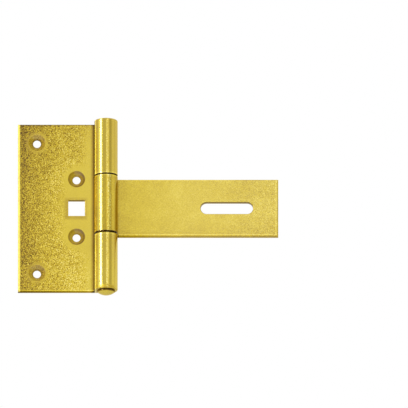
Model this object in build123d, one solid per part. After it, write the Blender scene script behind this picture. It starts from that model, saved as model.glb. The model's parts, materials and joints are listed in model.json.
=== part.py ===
from build123d import *
from math import asin, degrees, sqrt
import os

# Strap hinge with a slotted hasp end, stamped and rolled from strip steel.
# It stands as it is mounted: +Z along the pin, +X to the strap's free end, and the wall is the plane
# y = 0, so both plates lie between y = -sheet and y = 0 and the barrel bulges out to the front, -Y.
# The origin is the centre of the square bolt hole, on the back face.

# Sheet and pin
sheet = 3.5
pin_diameter = 6.0
running_gap = 0.25
head_diameter = 10.2
head_rim = 0.8
head_height = 2.6
peened_rim = 0.3
peened_height = 1.2

# Leaf: its reach is measured from the pin's axis to the free edge
leaf_reach = 50.8
leaf_height = 100.0
bolt_to_axis = 17.0
bolt_square = 9.5
inner_screw_pitch = 34.5
outer_screw_pitch = 78.0
outer_screw_margin = 11.0
screw_hole = 4.6
countersink = 10.0
countersink_angle = 90.0

# Strap: its reach is measured from the pin's axis to the free end
strap_reach = 99.2
strap_width = 34.0
slot_length = 30.2
slot_width = 7.0
slot_margin = 14.5

# Knuckles: the leaf's stand out past its plate, and the strap's sits higher than its own plate.
# The notch gap is from a knuckle to the edge of the plate beside it, along the plate's front face.
overhang_above = 1.3
overhang_below = 0.6
strap_climb = 0.75
seam_above = 0.4
seam_below = 0.8
notch_gap = 0.6
roll_gap = 0.3

# Edges: the die and tumbling round the front edges of the plates and both ends of each knuckle.
# The ends that meet in a seam are worn less than the two ends of the barrel.
front_edge = 0.8
slot_edge = 0.6
bolt_edge = 0.25
barrel_edge = 0.8
seam_edge = 0.4

bore_radius = pin_diameter / 2 + running_gap
knuckle_radius = bore_radius + sheet
axis_x = bolt_to_axis
axis_y = -knuckle_radius
plate_start = sqrt(knuckle_radius**2 - bore_radius**2) + notch_gap
roll_angle = 270 + degrees(asin((bore_radius - roll_gap) / knuckle_radius))

strap_low = strap_climb - strap_width / 2
strap_high = strap_climb + strap_width / 2
barrel_low = -leaf_height / 2 - overhang_below
barrel_high = leaf_height / 2 + overhang_above


def front_face(blank):
    return blank.faces().filter_by(Axis.Y).sort_by(Axis.Y)[0]


def plate(side, reach, width, opening, opening_edge):
    """Flat blank from the knuckles out to its free edge, on the -X or +X side of the pin."""
    length = reach - plate_start
    outline = Pos(axis_x + side * (plate_start + length / 2), 0) * Rectangle(length, width)
    blank = extrude(Plane.XZ * (outline - opening), sheet)
    outward = Axis((axis_x, 0, 0), (side, 0, 0))
    free_rim = front_face(blank).outer_wire().edges().sort_by(outward)[1:]
    blank = blank.fillet(front_edge, free_rim)
    return blank.fillet(opening_edge, front_face(blank).inner_wires()[0].edges())


def sheet_end(low, high):
    """Cut through the sheet at the pin's axis, where a tab's flat part ends and its roll begins."""
    return Plane.YZ.offset(axis_x) * Pos(-sheet / 2, (low + high) / 2) * Rectangle(sheet, high - low)


def knuckle(side, low, high, low_edge, high_edge):
    """The roll round the pin, with its outer corners rounded by low_edge below and high_edge above."""
    section = sheet_end(low, high)
    for end, edge in ((0, low_edge), (-1, high_edge)):
        outer = section.vertices().group_by(Axis.Z)[end].sort_by(Axis.Y)[-1]
        section = fillet(outer, edge)
    return revolve(section, Axis((axis_x, axis_y, 0), (0, 0, side)), roll_angle)


def flat_tab(side, low, high):
    """The flat start of a tab, along the back face from the edge of the plate to the roll."""
    return extrude(sheet_end(low, high), plate_start, dir=(side, 0, 0))


def countersunk_pair(x, pitch):
    """Two screw holes, one above the other, countersunk from the front face."""
    hole = CounterSinkHole(screw_hole / 2, countersink / 2, 2 * sheet, countersink_angle)
    front = Plane.XZ.offset(sheet)
    return [front * Pos(x, z) * hole for z in (-pitch / 2, pitch / 2)]


def leaf():
    """Screw-on leaf: notched between two rolled knuckles, with a square bolt hole and four screw holes."""
    body = plate(-1, leaf_reach, leaf_height, Rectangle(bolt_square, bolt_square), bolt_edge)
    upper_seam = strap_high + seam_above
    lower_seam = strap_low - seam_below
    body += flat_tab(-1, upper_seam, leaf_height / 2)
    body += flat_tab(-1, -leaf_height / 2, lower_seam)
    body += knuckle(-1, upper_seam, barrel_high, seam_edge, barrel_edge)
    body += knuckle(-1, barrel_low, lower_seam, barrel_edge, seam_edge)
    outer_x = axis_x - leaf_reach + outer_screw_margin
    body -= countersunk_pair(0, inner_screw_pitch)
    body -= countersunk_pair(outer_x, outer_screw_pitch)
    return body


def strap():
    """Strap with one rolled knuckle and the long slot that a staple passes through."""
    slot_x = axis_x + strap_reach - slot_margin - slot_length / 2
    slot = Pos(slot_x, 0) * SlotOverall(slot_length, slot_width)
    body = plate(1, strap_reach, strap_width, slot, slot_edge)
    body += flat_tab(1, strap_low, strap_high)
    body += knuckle(1, strap_low, strap_high, seam_edge, seam_edge)
    return body


def head(rim, height):
    """Head of the pin, standing on the end of the barrel: a short upright rim with a dome over it."""
    shoulder = (head_diameter / 2, rim)
    outline = Polyline((0, height), (0, 0), (head_diameter / 2, 0), shoulder)
    dome = TangentArc((0, height), shoulder, tangent=(1, 0))
    return revolve(Plane.XZ * make_face([outline, dome]), Axis.Z)


def pin():
    """Round pin through the whole barrel, with its formed head below and its peened end above."""
    shank = extrude(Plane.XY.offset(barrel_low) * Circle(pin_diameter / 2), barrel_high - barrel_low)
    formed = Pos(0, 0, barrel_low) * mirror(head(head_rim, head_height), Plane.XY)
    peened = Pos(0, 0, barrel_high) * head(peened_rim, peened_height)
    return Pos(axis_x, axis_y, 0) * (shank + formed + peened)


os.makedirs("parts", exist_ok=True)
for name, piece in (("leaf", leaf()), ("strap", strap()), ("pin", pin())):
    export_step(piece, f"parts/{name}.step")
    print(name, "volume", round(piece.volume), "mm3")
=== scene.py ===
# %% [markdown]
# A slotted strap hinge in yellow zinc
#
# The real hinge is three pieces of steel: a leaf that is screwed to the post, a strap that swings on
# it, and a pin through their rolled knuckles. They are stamped, rolled and peened together, and the
# zinc comes last, so one golden skin covers everything. The shapes could be modelled again here with
# subdivision surfaces, but the CAD solids already have every fold, hole and rounded edge at its true
# size. So the meshes stay as they come, and this lesson is about the finish and the light.

# %% The hinge, and where its pieces lie
import json
import math

import bpy
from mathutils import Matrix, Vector


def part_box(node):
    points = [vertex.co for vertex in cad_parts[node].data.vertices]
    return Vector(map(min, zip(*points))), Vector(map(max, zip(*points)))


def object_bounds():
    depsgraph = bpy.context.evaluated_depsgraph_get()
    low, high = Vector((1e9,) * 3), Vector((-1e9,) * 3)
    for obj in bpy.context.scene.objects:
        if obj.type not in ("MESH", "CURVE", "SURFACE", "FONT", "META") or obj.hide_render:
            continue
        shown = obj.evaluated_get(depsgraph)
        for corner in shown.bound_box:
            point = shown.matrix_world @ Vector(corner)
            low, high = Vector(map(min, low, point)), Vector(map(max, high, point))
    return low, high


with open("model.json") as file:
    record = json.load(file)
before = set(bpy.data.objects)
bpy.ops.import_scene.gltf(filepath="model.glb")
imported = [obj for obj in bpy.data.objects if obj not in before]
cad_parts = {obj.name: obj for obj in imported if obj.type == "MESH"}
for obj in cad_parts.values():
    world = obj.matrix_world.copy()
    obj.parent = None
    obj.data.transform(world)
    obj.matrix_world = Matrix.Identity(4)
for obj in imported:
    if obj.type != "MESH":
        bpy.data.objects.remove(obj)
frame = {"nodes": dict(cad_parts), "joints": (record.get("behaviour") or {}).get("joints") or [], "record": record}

cad_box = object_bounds()
for name in frame["nodes"]:
    low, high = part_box(name)
    print(name, "is", [round(1000 * side, 1) for side in high - low], "mm")

# %% [markdown]
# The measures that the finish follows
#
# The plating is darker here and smoother there for reasons that have a place: round the holes the die
# held the sheet down, and at the knuckles the rolling tool burnished it. Those places could be painted
# by eye. Reading them from the hinge's own record is better, because the marks then stay round the
# holes if a size changes. The wall is the plane y = 0, and the front faces of the sheets look to -Y.
# The leaf's knuckles stand a little past the top and the foot of its plate.

# %% Holes, pin axis and knuckles, in millimetres
mm = 0.001
mounts = {mount["name"]: mount for mount in frame["record"]["mounts"]}
hinge_axis = Vector(frame["joints"][0]["pos_m"]) / mm
barrel_radius = -hinge_axis.y
leaf_low, leaf_high = (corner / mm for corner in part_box("leaf"))
strap_low, strap_high = (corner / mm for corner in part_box("strap"))


def screw_pair(name):
    """How far along X a pair of screw holes lies, and how far each is above or below the middle."""
    mount = mounts[name]
    return mount["pos_m"][0] / mm, mount["dims"]["spacing_y_mm"] / 2


inner_x, inner_z = screw_pair("inner_screws")
outer_x, outer_z = screw_pair("outer_screws")
slot_x = mounts["hasp_slot"]["pos_m"][0] / mm
front_face = -3.5
cone_foot = -0.8
cone_radius = 5.0
square_half = 4.75
leaf_top = leaf_high.z - 1.3
leaf_foot = leaf_low.z + 0.6
upper_knuckle_end = strap_high.z + 0.4
lower_knuckle_end = strap_low.z - 0.8
print("pin axis at", round(hinge_axis.x, 2), "barrel radius", round(barrel_radius, 2))
print("inner screws", inner_x, inner_z, "outer screws", outer_x, outer_z)

# %% [markdown]
# Shader maths as Python
#
# A finish is arithmetic on fields: a grain times a mask, plus a stain. Node by node that is hard to
# read. One small class holds a socket, and its operators add the nodes that work the sum out. Numbers
# go through Math, and vectors through Vector Math, because a Math node would keep only one number.

# %% A socket with operators


class Field:
    """A value, colour or vector that varies over a surface, as the socket it comes from."""

    def __init__(self, sheet, socket):
        self.sheet = sheet
        self.socket = socket

    def worked(self, operation, *operands):
        """The operands through one Math node, or through Vector Math where this field is a vector."""
        kind = "Math" if self.socket.type == "VALUE" else "VectorMath"
        return self.sheet.node(kind, {"operation": operation}, dict(enumerate(operands)))

    def __add__(self, other):
        return self.worked("ADD", self, other)

    def __sub__(self, other):
        return self.worked("SUBTRACT", self, other)

    def __rsub__(self, other):
        return self.worked("SUBTRACT", other, self)

    def __mul__(self, other):
        if self.socket.type == "VALUE":
            return self.worked("MULTIPLY", self, other)
        return self.sheet.node("VectorMath", {"operation": "SCALE"}, {0: self, "Scale": other})

    __radd__ = __add__
    __rmul__ = __mul__

    def __abs__(self):
        return self.worked("ABSOLUTE", self)

    def larger(self, other):
        """The larger of two fields at each point, so that masks join without adding up."""
        return self.worked("MAXIMUM", self, other)

    def rise(self, start, end):
        """0 up to start and 1 from end on, with a smooth step between."""
        ends = {"Value": self, "From Min": start, "From Max": end}
        return self.sheet.node("MapRange", {"interpolation_type": "SMOOTHSTEP"}, ends)

    def fall(self, start, end):
        """1 up to start and 0 from end on."""
        return 1 - self.rise(start, end)

    def band(self, low, high, soft):
        """1 between low and high, and 0 outside, with edges that are soft across."""
        return self.rise(low - soft, low) * self.fall(high, high + soft)


print("field methods:", [word for word in vars(Field) if not word.startswith("_")])

# %% [markdown]
# One way into the node tree
#
# Every material is a tree of nodes, and each node could be added with its own four or five lines. The
# same few steps repeat, so one method takes them all: the node's type, then its settings, then the
# values or fields of its sockets. Settings come first because they change which sockets a node has.

# %% A sheet of nodes


class Sheet:
    """The node tree of a finish or of the world."""

    def __init__(self, owner):
        owner.use_nodes = True
        self.tree = owner.node_tree
        self.tree.nodes.clear()

    def node(self, kind, settings, sockets, out=0):
        """Adds a node: its settings first, then the values or fields of its sockets."""
        made = self.tree.nodes.new("ShaderNode" + kind)
        for name, value in settings.items():
            if name == "stops":
                self.set_stops(made.color_ramp, value)
            else:
                setattr(made, name, value)
        for name, value in sockets.items():
            if isinstance(value, Field):
                self.tree.links.new(value.socket, made.inputs[name])
            else:
                made.inputs[name].default_value = value
        return Field(self, made.outputs[out]) if made.outputs else made

    def set_stops(self, ramp, stops):
        """Gives a colour ramp its stops, as pairs of a position and a shade."""
        while len(ramp.elements) < len(stops):
            ramp.elements.new(0.5)
        for element, (position, shade) in zip(ramp.elements, stops):
            element.position = position
            element.color = shade

    def parts(self, vector):
        """The X, Y and Z of a vector, as three fields."""
        split = self.node("SeparateXYZ", {}, {0: vector}).socket.node
        return [Field(self, socket) for socket in split.outputs]

    def vector(self, x, y, z):
        return self.node("CombineXYZ", {}, {0: x, 1: y, 2: z})

    def length(self, x, y, z):
        return self.node("VectorMath", {"operation": "LENGTH"}, {0: self.vector(x, y, z)}, "Value")

    def noise(self, place, size, detail=2.0):
        """A cloudy field round 0.5, with lumps about size across in the units of place."""
        return self.node("TexNoise", {}, {"Vector": place, "Scale": 1 / size, "Detail": detail})


print("sheet methods:", [word for word in vars(Sheet) if not word.startswith("_")])

# %% [markdown]
# The tones of yellow zinc
#
# Zinc is dipped in a chromate bath, and the skin that forms there runs from a brown olive where it is
# thin and stained, through gold, to a pale straw yellow where it is clean. Each patch of the hinge
# could get colours of its own. One ramp of tones is truer to the bath: a finish only says how clean
# the skin is at each point, from 0 to 1, and every piece draws from the same ramp.

# %% Tone stops


def tone(red, green, blue):
    """A shade given as it looks on a screen, 0 to 255, as the linear colour that a shader takes."""
    screen = [channel / 255 for channel in (red, green, blue)]
    return (*[((channel + 0.055) / 1.055) ** 2.4 for channel in screen], 1)


skin_tones = [
    (0.0, tone(64, 40, 6)),
    (0.2, tone(138, 108, 22)),
    (0.4, tone(180, 153, 34)),
    (0.6, tone(207, 184, 50)),
    (0.8, tone(225, 207, 102)),
    (1.0, tone(240, 230, 160)),
]
print("skin tones:", len(skin_tones))

# %% [markdown]
# Grain and stains
#
# The strip steel under the zinc is pickled, which leaves a fine orange peel that catches the light as
# specks. A picture of it would repeat and blur, so it is made of noise. Such noise is nearly flat on
# the planes of its own lattice, which lie one pit apart, and a face that lies on one of them would
# lose its grain. So the sheet is a whole number of pits thick, and half a pit of shift sets both of
# its faces midway between two planes.

# %% Orange peel and clouds
pits_through_sheet = 11
pit = -front_face / pits_through_sheet


def peel(sheet, place):
    """The orange peel of the strip, about -1 to 1."""
    fine = sheet.noise(place + sheet.vector(0.0, pit / 2, 0.0), pit, 0.0)
    broad = sheet.noise(place, 1.5, 1.0)
    return (fine - 0.5) * 4.4 + (broad - 0.5) * 0.5


def clouds(sheet, place, size):
    """Slow stains of the bath, about -1 to 1."""
    return (sheet.noise(place, size, 2.0) - 0.5) * 4


print("a pit is", round(pit, 3), "mm across")

# %% [markdown]
# A skin and its marks
#
# Up close the plating is a list of marks: a polished edge with a painted highlight, a crease in painted
# shade, a burnished roll. Each could be a shader of its own, blended over the last, but that grows
# heavy fast. Here a skin starts even, and mark() adds a little to its fields where a mask says so. A
# mark that is off by a bit is then one number in one line. The masks measure from the pin's axis, the
# front face and the holes: rolled is 1 on the barrel, plate is 1 beside it, and sunk is 1 down to the
# foot of the screw holes' cones.

# %% A skin


class Skin:
    """How clean, rough, raised, metallic and filmed one piece is, at each point of its surface."""

    def __init__(self, sheet, clean, rough, film):
        self.sheet = sheet
        self.place = sheet.node("TexCoord", {}, {}, "Object") * (1 / mm)
        self.x, self.y, self.z = sheet.parts(self.place)
        self.from_axis = self.x - hinge_axis.x
        self.reach = abs(self.from_axis)
        self.rolled = self.reach.fall(0.93 * barrel_radius, 1.12 * barrel_radius)
        self.plate = self.reach.rise(barrel_radius, barrel_radius + 0.2)
        self.sunk = self.y.fall(cone_foot - 0.05, cone_foot + 0.05)
        self.grain = peel(sheet, self.place)
        self.clean, self.rough, self.film = clean, rough, film
        self.relief, self.metal = 0.0, 1.0

    def mark(self, where, **changes):
        """Adds each change to its field, as far as the mask says."""
        for field, change in changes.items():
            setattr(self, field, getattr(self, field) + where * change)

    def settle(self, where, **levels):
        """Draws each field to its level, as far as the mask says."""
        for field, level in levels.items():
            self.mark(where, **{field: level - getattr(self, field)})

    def cut_wall(self):
        """1 on the sheared walls of a plate and its openings, behind the rounded front edge."""
        return self.y.band(front_face + 0.08, -0.05, 0.05) * self.plate

    def worn_edge(self, depth):
        """1 on a plate's rounded front edges down to that depth, which tumbling polishes and where a highlight is
        painted.
        """
        return self.y.band(front_face + 0.03, front_face + depth, 0.04) * self.plate

    def round_pair(self, pair_x, pair_z):
        """Distance to the nearer of two holes, one above the other."""
        return self.sheet.length(self.x - pair_x, 0.0, abs(self.z) - pair_z)


print("skin methods:", [word for word in vars(Skin) if not word.startswith("_")])

# %% [markdown]
# The plating itself
#
# Yellow zinc is metal seen through a thin clear film. It could be a plain metal, but then a highlight
# stays yellow, and on the real barrel it goes nearly white. So each finish is a metal with a clear
# coat over it. Tone, roughness, relief, metal and the weight of the film vary over the surface. The
# rest are constants, because nothing on the real hinge changes them.

# %% A plating from a skin
film_roughness = 0.13
film_ior = 1.6
edge_tint = tone(255, 238, 160)


def plating(name, describe):
    """A material in yellow zinc. describe(sheet) gives its skin."""
    material = bpy.data.materials.new(name)
    sheet = Sheet(material)
    skin = describe(sheet)
    surface = {
        "Base Color": sheet.node("ValToRGB", {"stops": skin_tones}, {"Fac": skin.clean}),
        "Roughness": skin.rough,
        "Normal": sheet.node("Bump", {}, {"Height": skin.relief, "Distance": mm}),
        "Metallic": skin.metal,
        "Specular Tint": edge_tint,
        "Coat Weight": skin.film,
        "Coat Roughness": film_roughness,
        "Coat IOR": film_ior,
    }
    shader = sheet.node("BsdfPrincipled", {}, surface)
    sheet.node("OutputMaterial", {}, {"Surface": shader})
    print(name, "has", len(sheet.tree.nodes), "nodes")
    return material


# %% [markdown]
# The leaf's plate
#
# The leaf is the roughest piece. Its free half is coarse, and the plate is painted darker as shade
# towards the free edge and the top. Its hinge half was held flat by the die and is smooth and pale,
# and the smooth part widens round the square hole. A texture painted over the plate could show that,
# but masks on the distance from the pin's axis do it with no picture. A slow cloud is added to the
# distance, so that no border runs straight. Tumbling rubs the edges smooth, and they are painted pale
# as highlights, the free edge most of all.

# %% Coarse and held steel, painted shade, and edges with painted highlights


def leaf_plate(skin, inner, outer, cone):
    """The coarse steel and the plate's painted shade, then the edges with painted highlights, which the grain
    doesn't reach.
    """
    x, y, z, reach = skin.x, skin.y, skin.z, skin.reach
    wander = clouds(skin.sheet, skin.place, 9) * 2.5
    drift = reach + wander
    widening = abs(z).fall(8, 34) * 13
    held = inner.fall(6, 10).larger(outer.fall(5.2, 7.2) * 0.9) * skin.sunk
    coarse = (drift - widening).rise(7, 17) * (1 - held)
    skin.mark(skin.grain, relief=0.002)
    skin.mark(coarse, clean=-0.05, rough=0.08, relief=skin.grain * 0.02, film=-0.45)
    # Painted shade: darker towards the free edge and, where coarse, at the top; low down, lighter near the barrel
    # and darker further out.
    upper_part = (z + wander).rise(10, 60)
    lower_part = z.fall(-45, -20)
    towards_edge = drift.rise(22, 52) + reach.rise(45, 48.5) * 0.25
    skin.mark(towards_edge, clean=lower_part * 0.1 - 0.24, film=0.1)
    skin.mark(coarse * upper_part, clean=-0.12)
    skin.mark(lower_part, clean=(reach.fall(8, 28) - reach.rise(18, 34)) * 0.06)
    skin.mark(clouds(skin.sheet, skin.place, 12), clean=0.03)
    # Painted highlights on the rounded front edges and the free edge, which are also polished smoother.
    free_edge = x.fall(leaf_low.x + 1.1, leaf_low.x + 1.5) * y.fall(front_face + 0.8, front_face + 1)
    rubbed = (skin.worn_edge(0.25) * z.fall(leaf_top - 1.2, leaf_top - 0.9)).larger(free_edge)
    skin.mark(skin.grain * (1 - rubbed), clean=coarse * 0.33 + 0.04)
    skin.mark(rubbed * (1 - cone), clean=0.3, rough=-0.14, metal=-0.4)
    # The cut walls are rougher, and painted darker as shade.
    skin.mark(skin.cut_wall(), clean=-0.2, rough=0.15, film=-0.6)
    # The free edge is painted palest and less metallic, as a highlight.
    skin.mark(free_edge, metal=-0.1)
    skin.settle(free_edge, clean=0.74)


# %% [markdown]
# The leaf's holes
#
# The screw holes are countersunk after stamping, so their cones are rougher and nearly matt. The
# inner cones are darker towards their rims and the outer ones in their throats, and each cone is
# painted darker as shade on its side towards the barrel. The cones are part of the mesh. Only their
# skin is made here, from the distance to each hole, and only in front of the straight part of the
# hole. The square hole has a darker band round it, a little wider to the left and below.

# %% Cones and the square's lip


def leaf_cones(skin, inner, inner_cone, outer, outer_cone):
    """The countersunk cones: inner and outer are distances to the holes, the cones their masks."""
    cone = inner_cone.larger(outer_cone)
    skin.mark(cone, clean=0.1, rough=0.25, metal=-0.7)
    skin.settle(cone, film=0.9)
    # Painted shade: each cone is darker on its side towards the barrel.
    for mask, hole_x in ((inner_cone, inner_x), (outer_cone, outer_x)):
        skin.mark(mask * skin.x.rise(hole_x - 4, hole_x + 4), clean=-0.2)
    brim = inner.rise(3.4, 4.2)
    throat = outer.fall(2.6, 3.4)
    skin.mark(inner_cone * brim, clean=-0.1)
    skin.mark(outer_cone * throat, clean=-0.1)
    skin.mark(outer_cone, clean=skin.grain * 0.12 + 0.14)


def leaf_square_hole(skin):
    """The lip, from the distance to the hole's middle as a square measures it."""
    shift = 0.5
    from_middle = abs(skin.x + shift).larger(abs(skin.z + shift))
    lip = from_middle.fall(square_half + 0.45, square_half + 2.65) * skin.sunk
    skin.mark(lip, clean=-0.17)


# %% [markdown]
# The leaf's knuckles
#
# The rolling tool presses the knuckles smooth. The long pale stripes along them are painted
# highlights, each a band at its own distance from the axis. A wave texture would give stripes too, but
# evenly spaced ones, and these are not. The crease beside the barrel, the left flank, the seams and
# the ring round the head of the pin are painted darker as shade, and the knuckle ends beside the
# seams are painted pale as highlights.

# %% Stripes, crease and seams


def polished_stripe(skin):
    """1 along the pale stripe painted as a highlight, left of the axis."""
    return skin.rolled * skin.from_axis.band(-4.6, -1.8, 0.4)


def leaf_knuckles(skin):
    """The painted highlight stripes, then the left side with its painted shade, painted highlight line and the
    painted shade beside the barrel, then the painted shade and highlights at the joints between knuckles.
    """
    z, reach, rolled = skin.z, skin.reach, skin.rolled
    left = skin.from_axis.fall(-1, 0)
    skin.mark(rolled, clean=-0.06, rough=-0.16, film=-0.1)
    # Painted highlight: a pale stripe left of the axis, under a thicker film.
    skin.mark(polished_stripe(skin), clean=skin.grain * 0.05 + 0.14, film=0.35)
    # Painted highlight: a second, grainy pale stripe just right of the axis.
    skin.mark(rolled * skin.from_axis.band(0.2, 1, 0.5), clean=skin.grain * 0.28 + 0.12)
    # Painted shade: the left flank of the barrel is darker and less metallic.
    flank = rolled * left * reach.rise(4.3, 5)
    skin.mark(flank, clean=-0.18, metal=-0.8, film=-0.6)
    # Painted highlight: a pale, rough line along the left flank.
    bloom = rolled * left * reach.band(5.85, 6.35, 0.25)
    skin.mark(bloom, clean=0.32, rough=0.4, metal=-0.2, film=0.6)
    # Painted shade: the crease on the plate beside the barrel is dark brown.
    crease = left * reach.rise(5.9, 6.5) * reach.fall(7, 9.3) * (1 - bloom)
    skin.mark(crease, clean=-0.39, film=-0.4)
    # Painted shade: the upper seam is dark.
    seam = rolled * z.band(upper_knuckle_end - 0.1, upper_knuckle_end + 0.25, 0.15)
    skin.mark(seam, clean=-0.5)
    # Painted highlights: pale lines on the knuckle ends beside the seams.
    above_seam = z.band(upper_knuckle_end + 0.45, upper_knuckle_end + 1, 0.2)
    below_seam = z.band(lower_knuckle_end - 0.4, lower_knuckle_end + 0.1, 0.2)
    skin.mark(rolled * (above_seam + below_seam), clean=0.16)


def leaf_barrel_foot(skin):
    """The painted shade round the pin's head, and the lower knuckle's rougher end over it, painted a little darker
    as shade.
    """
    from_pin = skin.sheet.length(skin.from_axis, skin.y - hinge_axis.y, 0.0)
    underside = skin.z.fall(leaf_foot - 0.4, leaf_foot - 0.1)
    # Painted shade: a dark ring round the pin's head, under the knuckle.
    ring = from_pin.fall(5.9, 6.3) * skin.reach.fall(3.8, 4.8) * underside
    skin.mark(ring, clean=-0.85, film=-0.6)
    # The end of the lower knuckle is rougher, and painted a little darker as shade.
    dull = skin.rolled * skin.reach.fall(3.5, 6) * skin.z.fall(leaf_foot + 0.6, leaf_foot + 2)
    skin.mark(dull, clean=-0.07, rough=0.45, film=-0.3)


print("the crease lies", round(barrel_radius, 2), "mm left of the pin's axis")

# %% [markdown]
# The leaf, put together
#
# The marks add up, so their order hardly matters. Only where a mark settles a field must it come after
# the others: the cones set their film, whatever the walls did to it. So the plate comes first, then
# the holes, then the knuckles. One long function could hold all the marks, but short ones can be tried
# and left out one at a time.

# %% Leaf plating


def leaf_skin(sheet):
    skin = Skin(sheet, clean=0.52, rough=0.34, film=0.8)
    inner = skin.round_pair(inner_x, inner_z)
    outer = skin.round_pair(outer_x, outer_z)
    inner_cone = inner.fall(cone_radius - 0.3, cone_radius + 0.1) * skin.sunk
    outer_cone = outer.fall(cone_radius - 0.3, cone_radius + 0.3) * skin.sunk
    leaf_plate(skin, inner, outer, inner_cone.larger(outer_cone))
    leaf_cones(skin, inner, inner_cone, outer, outer_cone)
    leaf_square_hole(skin)
    leaf_knuckles(skin)
    leaf_barrel_foot(skin)
    return skin


leaf_plating = plating("leaf in yellow zinc", leaf_skin)

# %% [markdown]
# The strap
#
# The strap is clean and even: a satin straw yellow with soft blotches, painted darker beside the
# barrel as shade, and a fine grain that shows towards its free end. Its lower and free edges and the
# rim of its slot are worn smooth and painted pale as highlights, and the walls under them are painted
# darker as shade. It could share the leaf's skin, turned down.
# It has one of its own because it was cut from smoother strip.

# %% Strap plating


def strap_plate(skin):
    """The even steel with its blotches and painted shade, then the painted highlight lines along the edges and the
    slot, and painted shade on the walls.
    """
    x, y, z, reach = skin.x, skin.y, skin.z, skin.reach
    free_end = x.rise(strap_high.x - 50, strap_high.x)
    skin.mark(skin.grain, clean=free_end * 0.1 + 0.09, relief=free_end * 0.006 + 0.003)
    skin.mark(clouds(skin.sheet, skin.place, 7), clean=0.035)
    skin.mark(clouds(skin.sheet, skin.place, 18), clean=0.03)
    # Painted shade: darker beside the barrel.
    beside_barrel = reach.fall(7, 20)
    skin.mark(beside_barrel, clean=-0.06)
    skin.mark(x.rise(30, 60), clean=0.03)
    skin.mark(x.rise(26, 70), film=0.4)
    lower_strip = z.fall(-14, -8)
    skin.mark(lower_strip, clean=x.rise(60, 110) * -0.05 - 0.01)
    slot = abs(z).fall(5, 6) * x.rise(slot_x - 27, slot_x - 22)
    # Painted highlights, with real polish: pale lines along the foot and the free end, the rounded front edges
    # above the foot, and the rim of the slot.
    foot_line = z.band(strap_low.z + 0.8, strap_low.z + 1.2, 0.15)
    end_line = x.band(strap_high.x - 1.8, strap_high.x - 0.9, 0.2) * 0.5
    lines = foot_line.larger(end_line) * y.fall(front_face + 0.02, front_face + 0.1)
    above_foot = z.rise(strap_low.z + 2, strap_low.z + 3) * x.fall(80, 100)
    rubbed = lines.larger(skin.worn_edge(0.2) * above_foot.larger(slot * 1.3))
    skin.mark(rubbed, clean=0.17, rough=-0.12, metal=-0.3)
    # The cut walls are rougher, and painted darker as shade, the slot's walls most and the lower wall more.
    skin.mark(skin.cut_wall(), clean=slot * -0.3 - 0.03, rough=0.15, film=-0.6)
    behind_front = y.rise(front_face + 0.01, front_face + 0.05)
    lower_wall = z.fall(strap_low.z + 0.9, strap_low.z + 1.1) * behind_front
    skin.mark(lower_wall, clean=-0.09)


def strap_knuckle(skin):
    """The painted highlight stripes and upper end, then painted shade on the right where the strap meets its
    knuckle, on the left side and at the lower joint.
    """
    z, reach, rolled, from_axis = skin.z, skin.reach, skin.rolled, skin.from_axis
    skin.mark(rolled, rough=-0.15, film=-0.2)
    # Painted highlight: a pale stripe left of the axis, under a thicker film.
    skin.mark(polished_stripe(skin), clean=0.12, film=0.6)
    # Painted highlight: a second, grainy pale stripe right of the axis.
    skin.mark(rolled * from_axis.band(0.8, 2.6, 0.5), clean=skin.grain * 0.22 + 0.14)
    # Painted highlight: a pale line at the upper end of the knuckle.
    upper_end = rolled * z.band(strap_high.z - 0.8, strap_high.z - 0.2, 0.2)
    skin.mark(upper_end, clean=0.14)
    # Painted shade: the crease on the right, where the strap meets its knuckle, is darker.
    crease = from_axis.band(5.6, 6.8, 0.7)
    skin.mark(crease, clean=-0.13)
    # Painted shade: the left flank is darker, rougher and less metallic.
    flank = reach.band(5.6, 6.1, 0.3) * from_axis.fall(-1, 0)
    skin.mark(flank, clean=-0.16, rough=0.25, metal=-0.8, film=-0.5)
    # Painted shade: the lower seam is dark.
    seam = rolled * z.fall(strap_low.z + 1.05, strap_low.z + 1.25)
    skin.mark(seam, clean=-0.6)


def strap_skin(sheet):
    skin = Skin(sheet, clean=0.51, rough=0.33, film=0.6)
    strap_plate(skin)
    strap_knuckle(skin)
    return skin


strap_plating = plating("strap in yellow zinc", strap_skin)

# %% [markdown]
# The pin
#
# Only the two heads show. The hammer leaves them a little lumpy. Everything of the pin above the
# lowest part of its lower head is painted darker, as shade in the corner between that head and the
# knuckle. The lumps could be pushed into the mesh, but they are so low that bump alone shows them.

# %% Pin plating


def pin_skin(sheet):
    skin = Skin(sheet, clean=0.58, rough=0.3, film=0.75)
    lumps = clouds(sheet, skin.place, 2.5)
    skin.mark(lumps, clean=0.05, rough=0.03, relief=0.03)
    # Painted shade: the pin is darker above the lowest part of its lower head.
    corner = skin.z.rise(leaf_foot - 1.8, leaf_foot - 1.4)
    skin.mark(corner, clean=-0.5, film=-0.6)
    return skin


pin_plating = plating("pin in yellow zinc", pin_skin)

# %% [markdown]
# Dressing the pieces
#
# The hinge was plated as one thing, but its pieces came from different steel, so each has a plating
# of its own. One material with masks by piece could do it. Three are simpler to read and to change.

# %% Each piece takes its plating
platings = {"leaf": leaf_plating, "strap": strap_plating, "pin": pin_plating}
for part in frame["record"]["subparts"]:
    piece = frame["nodes"][part["node"]]
    piece.data.materials.clear()
    piece.data.materials.append(platings[part["node"]])
    print(part["node"], "wears", piece.data.materials[0].name)

# %% [markdown]
# The studio
#
# Metal shows the room it stands in. The picture's ground is pure white, so the world is white to the
# camera, and a reflection sees that white behind the hinge and a greyer room in front of it. A black
# room with lamps would give harder, stranger bands.

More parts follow.
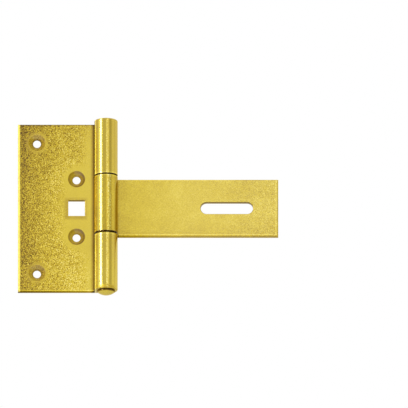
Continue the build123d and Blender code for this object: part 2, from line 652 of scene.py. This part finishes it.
# %% World
world = bpy.data.worlds.new("studio")
bpy.context.scene.world = world
air = Sheet(world)
room_level = 0.74
fill_level = 0.85
path = air.node("LightPath", {}, {}).socket.node
through = Field(air, path.outputs["Is Transmission Ray"])
straight = Field(air, path.outputs["Is Camera Ray"]).larger(through)
mirrored = Field(air, path.outputs["Is Glossy Ray"])
across, behind, above = air.parts(air.node("TexCoord", {}, {}, "Generated"))
brighter = behind.rise(-0.3, 0.7) + above.rise(0.5, 0.9) + abs(across).rise(0.65, 0.95)
seen = room_level + brighter * (1 - room_level)
level = straight + mirrored * seen + (1 - straight.larger(mirrored)) * fill_level
background = air.node("Background", {}, {"Color": (1, 1, 1, 1), "Strength": level})
air.node("OutputWorld", {}, {"Surface": background})
print("the world has", len(air.tree.nodes), "nodes")

# %% [markdown]
# The lamps
#
# A rolled barrel is a mirror bent round an upright line, so every lamp is a stripe on it. One bright
# strip far to the left draws the white line, and four weak soft ones lift the rest. A single large
# lamp would be simpler, but it would spread one wide glare over half of the barrel.

# %% Soft lamps
middle = sum(cad_box, Vector()) / 2


def direction(azimuth, elevation):
    """Unit vector from the hinge towards the viewer at that azimuth and elevation, in degrees."""
    a, e = math.radians(azimuth), math.radians(elevation)
    return Vector((math.sin(a) * math.cos(e), -math.cos(a) * math.cos(e), math.sin(e)))


def softbox(name, aim, azimuth, elevation, distance, size, radiance):
    """A flat lamp that faces aim, as bright as radiance to anything that mirrors it."""
    width, height = size
    lamp = bpy.data.lights.new(name, "AREA")
    lamp.shape = "RECTANGLE"
    lamp.size, lamp.size_y = width, height
    lamp.energy = radiance * math.pi * width * height
    stand = bpy.data.objects.new(name, lamp)
    bpy.context.scene.collection.objects.link(stand)
    towards = direction(azimuth, elevation)
    stand.location = aim + towards * distance
    stand.rotation_mode = "QUATERNION"
    stand.rotation_quaternion = towards.to_track_quat("Z", "Y")
    stand.visible_camera = False
    print(name, "lamp gives", round(lamp.energy, 3), "W")


barrel = hinge_axis * mm
softbox("strip", barrel, -52.5, 17, distance=0.6, size=(0.12, 0.4), radiance=11.5)
softbox("side", barrel, 70, 17, distance=0.6, size=(0.25, 0.4), radiance=0.25)
softbox("front", middle, 13, 25, distance=0.9, size=(0.48, 1.0), radiance=0.6)
softbox("wing", barrel, -15, 17, distance=0.6, size=(0.2, 0.4), radiance=0.22)
softbox("low", middle, 0, -20, distance=0.4, size=(0.6, 0.12), radiance=1.6)

# %% [markdown]
# The floor
#
# From above and from behind, the hinge floats over plain pale paper that catches its soft shadow. A
# curved backdrop could join floor and wall, but the white world already is the wall.

# %% Floor
floor_drop = 0.3
floor_half = 2.0
signs = ((-1, -1), (1, -1), (1, 1), (-1, 1))
corners = [(x * floor_half, y * floor_half, -floor_drop) for x, y in signs]
floor_mesh = bpy.data.meshes.new("floor")
floor_mesh.from_pydata(corners, [], [(0, 1, 2, 3)])
floor = bpy.data.objects.new("floor", floor_mesh)
bpy.context.scene.collection.objects.link(floor)
paper = bpy.data.materials.new("paper")
paper_sheet = Sheet(paper)
paper_white = (0.9, 0.9, 0.89, 1)
paper_skin = paper_sheet.node("BsdfPrincipled", {}, {"Base Color": paper_white, "Roughness": 0.9})
paper_sheet.node("OutputMaterial", {}, {"Surface": paper_skin})
floor_mesh.materials.append(paper)
print("the floor lies", floor_drop, "m below the bolt hole")

# %% [markdown]
# The camera
#
# The upright edges of the picture stay parallel from top to bottom, so it was taken from far off with
# a long lens. An orthographic camera draws that exactly. It looks straight at the hinge and well from
# below, which shows the lower walls of the plates.

# %% Camera
view_azimuth = 0
view_elevation = -16
picture_width = 0.2351
aim_right = 0.07342
aim_up = 0.0032
camera_distance = 0.6

camera_data = bpy.data.cameras.new("camera")
camera_data.type = "ORTHO"
camera_data.ortho_scale = picture_width
camera = bpy.data.objects.new("camera", camera_data)
bpy.context.scene.collection.objects.link(camera)
turn = direction(view_azimuth, view_elevation).to_track_quat("Z", "Y")
camera.rotation_mode = "QUATERNION"
camera.rotation_quaternion = turn
camera.location = turn @ Vector((aim_right, aim_up, camera_distance))
bpy.context.scene.camera = camera
bpy.context.scene.view_settings.view_transform = "Standard"
print("the picture is", picture_width, "m wide")

# %% [markdown]
# The end
#
# Dressing a part can change its size by accident, with a modifier or a stray piece. The box round
# everything was measured once, near the start, and is not measured again here.

# %% End
print("the scene is built")
